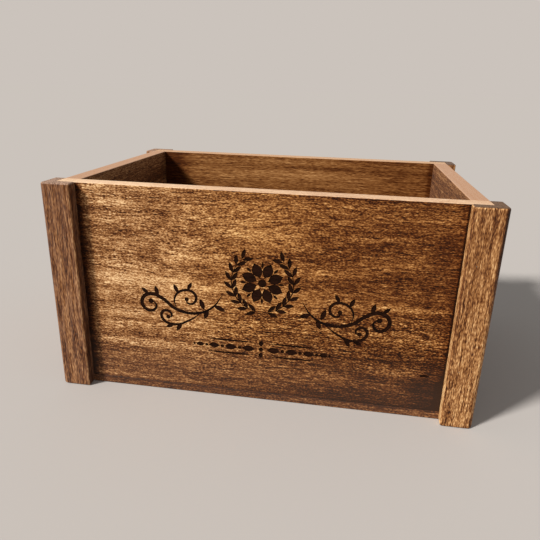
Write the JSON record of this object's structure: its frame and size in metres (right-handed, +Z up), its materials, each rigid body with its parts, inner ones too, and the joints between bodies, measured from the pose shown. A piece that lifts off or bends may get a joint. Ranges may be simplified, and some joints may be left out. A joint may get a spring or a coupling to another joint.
{
  "type": "open wooden box",
  "caption": "Open-topped stained wooden keepsake box of butted boards on a thin bottom board, with an L-shaped post wrapped round each corner.",
  "frame": {"origin": "under the middle of the box, on the surface that it stands on", "axes": "+X along the long front, +Y from the front to the back, +Z up; the front faces -Y"},
  "size_m": [0.322, 0.224, 0.165],
  "materials": {
    "stained_board": "dark walnut stain, satin",
    "bottom_board": "dark walnut stain, satin",
    "stained_post": "dark walnut stain, satin",
    "nail_steel": "bright drawn wire"
  },
  "bodies": {
    "root": {"front_panel": "stained_board", "back_panel": "stained_board", "left_panel": "stained_board", "right_panel": "stained_board", "bottom_board": "bottom_board", "front_left_corner_post": "stained_post", "front_right_corner_post": "stained_post", "back_left_corner_post": "stained_post", "back_right_corner_post": "stained_post", "front_joint_brads": "nail_steel", "back_joint_brads": "nail_steel", "long_side_bottom_brads": "nail_steel", "short_side_bottom_brads": "nail_steel", "front_post_pins": "nail_steel", "back_post_pins": "nail_steel", "left_post_pins": "nail_steel", "right_post_pins": "nail_steel"}
  },
  "joints": []
}
